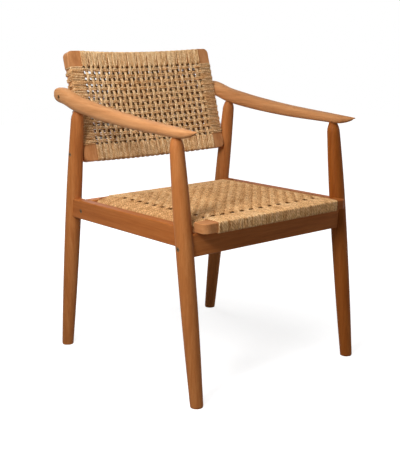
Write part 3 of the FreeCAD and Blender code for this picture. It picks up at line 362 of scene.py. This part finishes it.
def rounded(corners, radius, closed, steps=4, run=9.0):
    """Polyline in a plane with its corners rounded and its long runs divided."""
    corners = [np.array(corner, float) for corner in corners]
    number = len(corners)
    out = []
    for index, corner in enumerate(corners):
        if not closed and index in (0, number - 1):
            out.append(corner)
            continue
        before = corners[index - 1] - corner
        after = corners[(index + 1) % number] - corner
        cut = min(radius, MOST_OF_RUN * np.linalg.norm(before), MOST_OF_RUN * np.linalg.norm(after))
        start = corner + before / np.linalg.norm(before) * cut
        end = corner + after / np.linalg.norm(after) * cut
        for step in range(steps + 1):
            part = step / steps
            out.append((1 - part) ** 2 * start + 2 * part * (1 - part) * corner + part ** 2 * end)
    dense = []
    for index, point in enumerate(out):
        dense.append(point)
        if index + 1 < len(out) or closed:
            target = out[(index + 1) % len(out)]
            pieces = int(np.linalg.norm(target - point) // run)
            dense += [point + (target - point) * step / (pieces + 1) for step in range(1, pieces + 1)]
    return np.array(dense)


def wave(stations, levels, steps):
    """Cosine curve through levels at stations, as (place, level) rows."""
    rows = []
    for (start, first), (end, last) in zip(zip(stations, levels), zip(stations[1:], levels[1:])):
        for step in range(steps):
            part = step / steps
            share = (1 - math.cos(math.pi * part)) / 2
            rows.append((start + (end - start) * part, first + (last - first) * share))
    rows.append((stations[-1], levels[-1]))
    return np.array(rows)


def evenly(low, high, pitch):
    """Places from one limit to another, about a pitch apart."""
    return np.linspace(low, high, max(2, round((high - low) / pitch) + 1))


def node_box(node):
    low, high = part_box(node)
    return np.array(low) / MM, np.array(high) / MM


# Cord sizes in millimetres: its radius, the layer it makes on a bar, its tightest bend, a turn's room, and
# how far a turn strays
CORD = 1.7
LAYER = 3.6
CORNER = 4.0
TURN = 3.9
TURN_STRAY = 0.2

# Seat: pairs of cord each way in a two-over, two-under twill, wound round the four bars. First is the room
# from a bar to the first pair, dip is how much lower a cord goes under it, and the dive is its way down the
# bar. Edge and end say where a cord leaves a bar and where it stops.
SEAT_SWAY = 2.5
SEAT_STEPS = 4
WARPS = 50
WEFTS = 42
PAIR = 3.9
PAIR_ON_SIDE = 3.65
FIRST_SIDE, FIRST_FRONT = 11.0, 8.0
FRONT_DIP, SIDE_DIP = 4.5, 6.0
DIVE_OUT, DIVE_SLANT, DIVE_TOP, DIVE_END = 2.0, 0.4, 1.0, 0.5
EDGE_IN, END_UP, END_IN = 1.5, 12.0, 1.0
EASE_OVER = 14.0
SEAT_LOOSE, SEAT_LIFT = 0.25, 0.15
SIDE_BAR = 40.0
# Tones of warps and wefts: the scatter within each is the cord's own, but warps are set paler and wefts
# darker, painted light and shade for the twill's ridges and valleys
WARP_TONES_PAINTED_PALER, WEFT_TONES_PAINTED_DARKER = (0.35, 0.8), (0.1, 0.55)
# Painted shade on the seat's cords: how far below the weave it starts, the depth over which it deepens, and
# how much of it an underside gets
DEEP_START, DEEP_RANGE, UNDERSIDE = 2.6, 3.0, 0.7
SIDE_FALL = 9.0
FRONT_FOOT_Y, FRONT_NECK_Y, FRONT_NECK_Z = -298.7, -227.3, 631.0
front_low, front_high = node_box("seat_front_bar")
rear_low, rear_high = node_box("seat_rear_bar")
left_low = node_box("seat_left_bar")[0]
wrap_low, wrap_high = node_box("seat_left_wrap")
leg_low, leg_high = node_box("left_front_leg")
SEAT_TOP = front_high[2]
SEAT_LOW = front_low[2]
WEAVE = SEAT_TOP + CORD
bar_out = front_high[0] + SIDE_BAR
leg_x = (leg_low[0] + leg_high[0]) / 2
leg_radius = (leg_high[0] - leg_low[0]) / 2
leg_y = FRONT_FOOT_Y + (FRONT_NECK_Y - FRONT_FOOT_Y) * SEAT_LOW / FRONT_NECK_Z
warp_half = front_high[0] - LAYER - FIRST_SIDE
bar_half = front_high[0] - TURN
warp_x = np.linspace(-warp_half, warp_half, WARPS)
warp_bar_x = np.linspace(-bar_half, bar_half, WARPS)
weft_y = np.linspace(front_high[1] + LAYER + FIRST_FRONT, rear_low[1] - LAYER - FIRST_FRONT, WEFTS)


def warp_over(warp, weft):
    return (warp - weft) % 4 < 2


def side_reach(y):
    """How far out a turn round a side bar lies: it is squeezed where the front leg stands close."""
    beside = leg_radius ** 2 - (y - leg_y) ** 2
    squeezed = leg_x - math.sqrt(max(beside, 0)) - CORD
    return min(bar_out + CORD, squeezed) if beside > 0 else bar_out + CORD


def round_bar(inner, reach, sign, fall):
    """Way of a cord round a bar, from its inner face below and outside to its top, as (along, up)."""
    return rounded([(inner - sign * CORD, SEAT_LOW + END_UP), (inner - sign * CORD, SEAT_LOW - CORD),
                    (reach, SEAT_LOW - CORD), (reach, SEAT_TOP - fall + CORD),
                    (inner, SEAT_TOP + CORD), (inner - sign * EDGE_IN, SEAT_TOP + CORD)], CORNER, False)


def dive(inner, sign, level):
    """Way down the inner face of a bar, for a cord that goes under the first pair it meets."""
    if level > WEAVE:
        return np.empty((0, 2))
    return np.array([(inner - sign * DIVE_OUT, SEAT_TOP - DIVE_TOP),
                     (inner - sign * (DIVE_OUT + DIVE_SLANT), level + DIVE_END)])


def seat_cords(lines, bars, crossings, over, ends, fall, dip, place):
    """Pairs of cord one way: each goes round one bar, through the weave and round the other bar."""
    middle_span = (crossings[-1] - crossings[0]) / 2
    paths = []
    for index, (line, on_bar) in enumerate(zip(lines, bars)):
        (first, first_reach), (last, last_reach) = ends(on_bar)
        levels = [WEAVE + (SEAT_SWAY if over(index, other) else -SEAT_SWAY)
                  for other in range(len(crossings))]
        for end in (0, -1):
            levels[end] -= dip if levels[end] < WEAVE else 0
        way = np.concatenate([round_bar(first, first_reach, -1, fall), dive(first, -1, levels[0]),
                              wave(crossings, levels, SEAT_STEPS), dive(last, 1, levels[-1])[::-1],
                              round_bar(last, last_reach, 1, fall)[::-1]])
        past = np.abs(way[:, 0] - (crossings[0] + crossings[-1]) / 2) - middle_span
        ease = np.clip(past / EASE_OVER, 0, 1)
        ease = ease * ease * (3 - 2 * ease)
        for half in (-0.5, 0.5):
            loose = dice.uniform(-SEAT_LOOSE, SEAT_LOOSE)
            lift = dice.uniform(-SEAT_LIFT, SEAT_LIFT)
            apart = PAIR + (PAIR_ON_SIDE - PAIR) * ease
            offset = line + (on_bar - line) * ease + half * apart + loose
            paths.append(place(way[:, 0], offset, way[:, 1] + lift))
    return paths


def along_y(along, offset, up):
    return np.stack([offset, along, up], 1)


def along_x(along, offset, up):
    return np.stack([along, offset, up], 1)


warp_paths = seat_cords(
    warp_x, warp_bar_x, weft_y, warp_over,
    lambda x: ((front_high[1], front_low[1] - CORD), (rear_low[1], rear_high[1] + CORD)),
    0, FRONT_DIP, along_y)
weft_paths = seat_cords(
    weft_y, weft_y, warp_x, lambda weft, warp: not warp_over(warp, weft),
    lambda y: ((-left_low[0], -side_reach(y)), (left_low[0], side_reach(y))), SIDE_FALL, SIDE_DIP, along_x)
end_turns = list(evenly(wrap_low[1] + CORD, weft_y[0] - PAIR / 2 - TURN, TURN))
end_turns += list(evenly(weft_y[-1] + PAIR / 2 + TURN, wrap_high[1] - CORD, TURN))
for y in end_turns:
    reach = side_reach(y)
    way = rounded([(left_low[0] + END_IN, SEAT_TOP + CORD), (reach, SEAT_TOP - SIDE_FALL + CORD),
                   (reach, SEAT_LOW - CORD), (left_low[0] + END_IN, SEAT_LOW - CORD)], CORNER, False)
    for sign in (-1, 1):
        stray = dice.uniform(-TURN_STRAY, TURN_STRAY)
        weft_paths.append(along_x(sign * way[:, 0], np.full(len(way), y + stray), way[:, 1]))


def painted_shade_in_seat(path, outward):
    """Painted shade: darker skin where a cord dives below the weave, on its underside, and where the outer
    pairs face the slits beside the bars."""
    x, y, z = path.T
    inside = (np.abs(x) < left_low[0]) & (y > front_high[1]) & (y < rear_low[1])
    deep = np.clip((WEAVE - DEEP_START - z) / DEEP_RANGE, 0, 1)
    beside = np.sign(x) * (np.abs(x) > warp_half - PAIR)
    ends = 1.0 * (y > weft_y[-1] - PAIR) - 1.0 * (y < weft_y[0] + PAIR)
    facing = (outward[:, :, 0] * beside[:, None] + outward[:, :, 1] * ends[:, None]
              - outward[:, :, 2] * UNDERSIDE)
    return np.maximum(deep[:, None], np.clip(facing, 0, 1)) * inside[:, None]


seat_warp = tubes("seat_warp_cords", warp_paths, (1, 0, 0), CORD, False, *WARP_TONES_PAINTED_PALER, painted_shade_in_seat)
seat_weft = tubes("seat_weft_cords", weft_paths, (0, 1, 0), CORD, False, *WEFT_TONES_PAINTED_DARKER, painted_shade_in_seat)
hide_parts("seat_woven_panel", "seat_front_wrap", "seat_rear_wrap")
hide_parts("seat_left_wrap", "seat_right_wrap")

# Back: an open plain weave on both faces of a frame that leans, with bars bowed to the rear. The cords
# wind round it, so those of the rear face lie about half a pitch on from those of the front.
LEAN = math.radians(15.6)
BACK_TALL = 300.8
BACK_THICK = 25.0
BACK_RAIL = 40.0
BACK_BOW = 24.0
BACK_BARE = 44.0
REAR_FOOT_Y, REAR_NECK_Y, REAR_NECK_Z = 274.7, 186.7, 664.5
BOLT_Z, BOLT_UP, BOLT_IN = 550.0, 23.7, 12.0
COLUMNS, COLUMN_PITCH = 23, 17.5
ROWS, ROW_PITCH = 12, 17.8
REAR_COLUMN_SHIFT, REAR_COLUMN_OPEN, OPEN_COLUMNS = 0.56, -0.4, 6
REAR_ROW_SHIFT, REAR_ROW_OPEN, OPEN_ROWS = -0.26, -0.26, 4
STRAND = 2.1
STRAND_SWAY = 2.1
STRAND_LOOSE = 0.3
BACK_STEPS = 6
FACE_PAST, TURN_PAST = 2.0, 8.0
# Strength of the painted shade on cord skin that faces the space between the two nets
PAINTED_SHADE_GAIN = 1.2
# Tones of the back's cords: the scatter is the cord's own, but the uprights are set paler than the level
# pairs, painted light for bright uprights
UPRIGHT_TONES_PAINTED_PALER, LEVEL_TONES_PAINTED_DARKER = (0.8, 1.15), (0.55, 1.0)
TURN_TONES, BOTTOM_TONES = (0.5, 1.1), (0.5, 1.0)
PAIR_ON_BAR, PAIR_OVER, PAIR_UNDER = 4.1, 4.1, 4.9
SLIT_WIDE, SLIT_TALL, SLIT_SHUT = 3.4, 34.0, 0.5
bolt_y = REAR_FOOT_Y - (REAR_FOOT_Y - REAR_NECK_Y) * BOLT_Z / REAR_NECK_Z
BACK_Y = bolt_y - BOLT_UP * math.sin(LEAN) - BOLT_IN * math.cos(LEAN)
BACK_Z = BOLT_Z - BOLT_UP * math.cos(LEAN) + BOLT_IN * math.sin(LEAN)
UP_BACK = (0, math.sin(LEAN), math.cos(LEAN))
back_out = node_box("back_left_wrap")[1][0]
back_in = node_box("back_left_wrap")[0][0] + LAYER
bend = (back_in ** 2 + BACK_BOW ** 2) / (2 * BACK_BOW)
TOP_LOW = BACK_TALL - BACK_RAIL
TOP_HIGH = BACK_TALL - LAYER
net_middle = (BACK_RAIL + TOP_LOW) / 2
column_x = COLUMN_PITCH * (np.arange(COLUMNS) - (COLUMNS - 1) / 2)
row_z = net_middle + ROW_PITCH * (np.arange(ROWS) - (ROWS - 1) / 2)
column_open = np.clip(1 - np.arange(COLUMNS) / OPEN_COLUMNS, 0, 1)
row_open = np.clip(1 - np.arange(ROWS)[::-1] / OPEN_ROWS, 0, 1)
rear_column_x = column_x + COLUMN_PITCH * (REAR_COLUMN_SHIFT + REAR_COLUMN_OPEN * column_open)
rear_column_x = np.minimum(rear_column_x, back_in - LAYER - 2 * STRAND)
rear_row_z = row_z + ROW_PITCH * (REAR_ROW_SHIFT + REAR_ROW_OPEN * row_open)
rear_row_z = np.maximum(rear_row_z, BACK_RAIL + LAYER + 2 * STRAND)


def on_back(x, through, up):
    """Points on the chair from the back frame's own frame, with its bow."""
    x, through, up = np.broadcast_arrays(x, through, up)
    inside = np.minimum(np.abs(x), back_in)
    through = through + np.sqrt(bend ** 2 - inside ** 2) - (bend - BACK_BOW)
    return np.stack([x, BACK_Y + through * math.cos(LEAN) + up * math.sin(LEAN),
                     BACK_Z - through * math.sin(LEAN) + up * math.cos(LEAN)], 1)


def painted_shade_in_back(path, outward):
    """Painted shade: darker skin where a cord faces the space between the two nets."""
    level = np.minimum(np.abs(path[:, 0]), back_in)
    through = np.array((0, math.cos(LEAN), -math.sin(LEAN)))
    depth = (path - (0, BACK_Y, BACK_Z)) @ through - np.sqrt(bend ** 2 - level ** 2) + bend - BACK_BOW
    facing = np.where(depth < BACK_THICK / 2, 1, -1)[:, None] * (outward @ through)
    return np.clip(PAINTED_SHADE_GAIN * facing, 0, 1)


def column_over(column, row):
    return (column + row) % 2 == 0


def face_way(crossings, over, limits):
    """Way of a pair through one face, from bar to bar: its place, its depth, the room between its cords."""
    stations = np.concatenate([[limits[0]], crossings, [limits[1]]])
    depths = np.concatenate([[-STRAND], np.where(over, -STRAND_SWAY, STRAND_SWAY), [-STRAND]])
    apart = np.concatenate([[PAIR_ON_BAR], np.where(over, PAIR_OVER, PAIR_UNDER), [PAIR_ON_BAR]])
    way = wave(stations, depths, BACK_STEPS)
    return way[:, 0], way[:, 1], wave(stations, apart, BACK_STEPS)[:, 1]


def wound(front, rear, past, far):
    """Closed way of a pair round the back: over the front, round one bar, over the rear and round the other.

    It comes as the place along the pair, the depth, the room between its cords, and its share of the way from
    the front line to the rear line. Past and far are where it turns round the bars, (inner, outer)."""
    turn = rounded([(-STRAND, past[0]), (-STRAND, past[1]), (BACK_THICK + STRAND, past[1]),
                    (BACK_THICK + STRAND, past[0])], CORNER, False)
    back_turn = rounded([(BACK_THICK + STRAND, far[0]), (BACK_THICK + STRAND, far[1]), (-STRAND, far[1]),
                         (-STRAND, far[0])], CORNER, False)
    along = np.concatenate([front[0], turn[:, 1], rear[0][::-1], back_turn[:, 1]])
    depth = np.concatenate([front[1], turn[:, 0], BACK_THICK - rear[1][::-1], back_turn[:, 0]])
    apart = np.concatenate([front[2], np.full(len(turn), PAIR_ON_BAR), rear[2][::-1],
                            np.full(len(back_turn), PAIR_ON_BAR)])
    share = np.concatenate([np.zeros(len(front[0])), np.clip(turn[:, 0] / BACK_THICK, 0, 1),
                            np.ones(len(rear[0])), np.clip(back_turn[:, 0] / BACK_THICK, 0, 1)])
    return along, depth, apart, share


rows, columns = np.arange(ROWS), np.arange(COLUMNS)
column_paths, row_paths = [], []
for column, (x, rear_x) in enumerate(zip(column_x, rear_column_x)):
    over = column_over(column, rows)
    limits = (BACK_RAIL - FACE_PAST, TOP_LOW + FACE_PAST)
    up, depth, apart, share = wound(face_way(row_z, over, limits), face_way(rear_row_z, over, limits),
                                    (TOP_LOW + TURN_PAST, TOP_HIGH + STRAND),
                                    (BACK_RAIL - TURN_PAST, LAYER - STRAND))
    for half in (-0.5, 0.5):
        place = x + (rear_x - x) * share + half * apart + dice.uniform(-STRAND_LOOSE, STRAND_LOOSE)
        column_paths.append(on_back(place, depth, up))
outer = back_out - LAYER + STRAND
for row, (z, rear_z) in enumerate(zip(row_z, rear_row_z)):
    under = ~column_over(columns, row)
    limits = (-back_in - FACE_PAST, back_in + FACE_PAST)
    x, depth, apart, share = wound(face_way(column_x, under, limits), face_way(rear_column_x, under, limits),
                                   (back_in + TURN_PAST, outer), (-back_in - TURN_PAST, -outer))
    for half in (-0.5, 0.5):
        place = z + (rear_z - z) * share + half * apart + dice.uniform(-STRAND_LOOSE, STRAND_LOOSE)
        row_paths.append(on_back(x, depth, place))
back_columns = tubes("back_upright_cords", column_paths, (1, 0, 0), STRAND, True, *UPRIGHT_TONES_PAINTED_PALER, painted_shade_in_back)
tubes("back_level_cords", row_paths, UP_BACK, STRAND, True, *LEVEL_TONES_PAINTED_DARKER, painted_shade_in_back)

# Turns of cord that fill the bars between the pairs, drawn aside where a pair comes over the bar's edge
strand_half = PAIR_ON_BAR / 2 + STRAND
spare = (COLUMN_PITCH - 2 * strand_half - 4 * CORD) / 3


def bar_turn(x, low, high, edge, aside):
    """One turn round a bar of the back, drawn aside towards the edge that faces the weave."""
    way = rounded([(-CORD, low - CORD), (BACK_THICK + CORD, low - CORD), (BACK_THICK + CORD, high + CORD),
                   (-CORD, high + CORD)], CORNER, True, run=5.0)
    near = np.clip(1 - np.abs(way[:, 1] - edge) / SLIT_TALL, 0, 1) * (way[:, 0] < 0)
    return on_back(x + aside * near + dice.uniform(-TURN_STRAY, TURN_STRAY), way[:, 0], way[:, 1])


top_paths, bottom_paths, left_paths = [], [], []
for column in range(COLUMNS - 1):
    start, end = column_x[column] + strand_half, column_x[column + 1] - strand_half
    for x in (start + spare + CORD, end - spare - CORD):
        aside = -SLIT_WIDE if column_over(column + 1, ROWS - 1) else SLIT_SHUT
        top_paths.append(bar_turn(x, TOP_LOW, TOP_HIGH, TOP_LOW, aside))
        aside = -SLIT_WIDE / 2 if column_over(column + 1, 0) else SLIT_WIDE / 2
        bottom_paths.append(bar_turn(x, LAYER, BACK_RAIL, BACK_RAIL, aside))
for x in evenly(column_x[-1] + strand_half + CORD, back_in - CORD, TURN):
    for sign in (-1, 1):
        top_paths.append(bar_turn(sign * x, TOP_LOW, TOP_HIGH, TOP_LOW, 0))
        bottom_paths.append(bar_turn(sign * x, LAYER, BACK_RAIL, BACK_RAIL, 0))
stile_way = rounded([(back_in - CORD, -CORD), (back_out - LAYER + CORD, -CORD),
                     (back_out - LAYER + CORD, BACK_THICK + CORD), (back_in - CORD, BACK_THICK + CORD)],
                    CORNER, True)
stile_z = [BACK_BARE + CORD, BACK_TALL - BACK_BARE - CORD]
for start, end in zip(row_z + strand_half, row_z[1:] - strand_half):
    stile_z += [start + CORD + spare, end - CORD - spare]
for z in stile_z:
    left_paths.append(on_back(stile_way[:, 0], stile_way[:, 1], z + dice.uniform(-TURN_STRAY, TURN_STRAY)))
right_paths = [path * (-1, 1, 1) for path in left_paths]
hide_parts("back_woven_panel", "back_rear_panel")
top_turns = tubes("back_top_turns", top_paths, (1, 0, 0), CORD, True, *TURN_TONES, painted_shade_in_back)
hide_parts("back_top_wrap")
bottom_turns = tubes("back_bottom_turns", bottom_paths, (1, 0, 0), CORD, True, *BOTTOM_TONES, painted_shade_in_back)
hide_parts("back_bottom_wrap")
left_turns = tubes("back_left_turns", left_paths, UP_BACK, CORD, True, *TURN_TONES, painted_shade_in_back)
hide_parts("back_left_wrap")
right_turns = tubes("back_right_turns", right_paths, UP_BACK, CORD, True, *TURN_TONES, painted_shade_in_back)
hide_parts("back_right_wrap")

# Floor, which the camera, reflections and glass see as white with the chair's soft shadow. It glows less near
# the chair than further off, over distances in metres.
FLOOR_HALF = 6.0
FLOOR_SEEN, FLOOR_LIT = (0.5, 0.5, 0.5, 1), (0.3, 0.29, 0.28, 1)
NEAR_CHAIR, FAR_OFF = 0.3, 1.0
GLOW_NEAR, GLOW_FAR = 0.78, 1.0
FLOOR_ROUGH = 0.9
floor_mesh = bpy.data.meshes.new("floor")
floor_mesh.from_pydata([(-FLOOR_HALF, -FLOOR_HALF, 0), (FLOOR_HALF, -FLOOR_HALF, 0),
                        (FLOOR_HALF, FLOOR_HALF, 0), (-FLOOR_HALF, FLOOR_HALF, 0)], [], [(0, 1, 2, 3)])
floor = bpy.data.objects.new("floor", floor_mesh)
scene.collection.objects.link(floor)
tree = Tree("pale_floor")
ray = tree.add("ShaderNodeLightPath")
seen = tree.math("MAXIMUM", ray.outputs["Is Camera Ray"], ray.outputs["Is Transmission Ray"])
seen = tree.math("MAXIMUM", seen, ray.outputs["Is Glossy Ray"])
tree.join(tree.mix(seen, FLOOR_LIT, FLOOR_SEEN), tree.shader.inputs["Base Color"])
tree.shader.inputs["Roughness"].default_value = FLOOR_ROUGH
from_chair = tree.add("ShaderNodeVectorMath", operation="LENGTH")
tree.join(tree.add("ShaderNodeTexCoord").outputs["Object"], from_chair.inputs[0])
whiteness = tree.spread(from_chair.outputs["Value"], NEAR_CHAIR, FAR_OFF, GLOW_NEAR, GLOW_FAR)
glow = tree.add("ShaderNodeEmission")
tree.join(tree.math("MULTIPLY", seen, whiteness), glow.inputs["Strength"])
both = tree.add("ShaderNodeAddShader")
tree.join(tree.shader.outputs[0], both.inputs[0])
tree.join(glow.outputs[0], both.inputs[1])
tree.join(both.outputs[0], tree.nodes["Material Output"].inputs["Surface"])
floor_mesh.materials.append(tree.material)

# World: white to the camera, reflections and glass, a low even light on the chair
AMBIENT = 0.08
world = bpy.data.worlds.new("studio")
scene.world = world
world.use_nodes = True
nodes, links = world.node_tree.nodes, world.node_tree.links
lamp = nodes["Background"]
lamp.inputs["Color"].default_value = WHITE
lamp.inputs["Strength"].default_value = AMBIENT
white = nodes.new("ShaderNodeBackground")
white.inputs["Color"].default_value = WHITE
white.inputs["Strength"].default_value = 1.0
path = nodes.new("ShaderNodeLightPath")
either = nodes.new("ShaderNodeMath")
either.operation = "MAXIMUM"
links.new(path.outputs["Is Camera Ray"], either.inputs[0])
links.new(path.outputs["Is Transmission Ray"], either.inputs[1])
also = nodes.new("ShaderNodeMath")
also.operation = "MAXIMUM"
links.new(either.outputs[0], also.inputs[0])
links.new(path.outputs["Is Glossy Ray"], also.inputs[1])
blend = nodes.new("ShaderNodeMixShader")
links.new(also.outputs[0], blend.inputs[0])
links.new(lamp.outputs[0], blend.inputs[1])
links.new(white.outputs[0], blend.inputs[2])
links.new(blend.outputs[0], nodes["World Output"].inputs["Surface"])

# Lamps: where each stands from the chair, its width and its power, in metres and watts
LAMPS = {
    "key": ((-1.3, -0.6, 1.3), 0.4, 15.0),
    "high": ((-1.0, -0.6, 1.9), 0.4, 8.6),
    "left": ((-1.1, 0.0, 1.8), 0.4, 4.5),
    "right": ((2.4, -1.2, 1.4), 1.4, 9.5),
    "top": ((-0.2, -0.2, 2.8), 1.4, 9.5),
    "rear": ((0.5, 2.5, 1.3), 1.4, 11.0),
}
AIM = Vector((0, 0, 0.45))
for name, (spot, width, power) in LAMPS.items():
    data = bpy.data.lights.new(name, "AREA")
    data.shape = "DISK"
    data.size = width
    data.energy = power
    lamp_object = bpy.data.objects.new(name, data)
    lamp_object.location = spot
    lamp_object.rotation_euler = (AIM - Vector(spot)).to_track_quat("-Z", "Y").to_euler()
    scene.collection.objects.link(lamp_object)

# Camera at the photograph's view
TARGET = Vector((-0.0192, -0.0113, 0.3808))
AZIMUTH, ELEVATION, ROLL, REACH = math.radians(-39.99), math.radians(11.71), math.radians(-0.10), 2.354
FOCAL, CENTRE_X, CENTRE_Y, WIDE, TALL = 872.0, 198.6, 216.4, 400, 457
data = bpy.data.cameras.new("camera")
data.sensor_width = 36.0
data.lens = FOCAL * data.sensor_width / TALL
data.shift_x = (WIDE / 2 - CENTRE_X) / TALL
data.shift_y = (CENTRE_Y - TALL / 2) / TALL
data.clip_end = 50
camera = bpy.data.objects.new("camera", data)
back = Vector((math.sin(AZIMUTH) * math.cos(ELEVATION), -math.cos(AZIMUTH) * math.cos(ELEVATION),
               math.sin(ELEVATION)))
camera.rotation_mode = "QUATERNION"
camera.location = TARGET + back * REACH
camera.rotation_quaternion = (-back).to_track_quat("-Z", "Y") @ Matrix.Rotation(ROLL, 4, "Z").to_quaternion()
scene.collection.objects.link(camera)
scene.camera = camera

scene.view_settings.view_transform = "Standard"
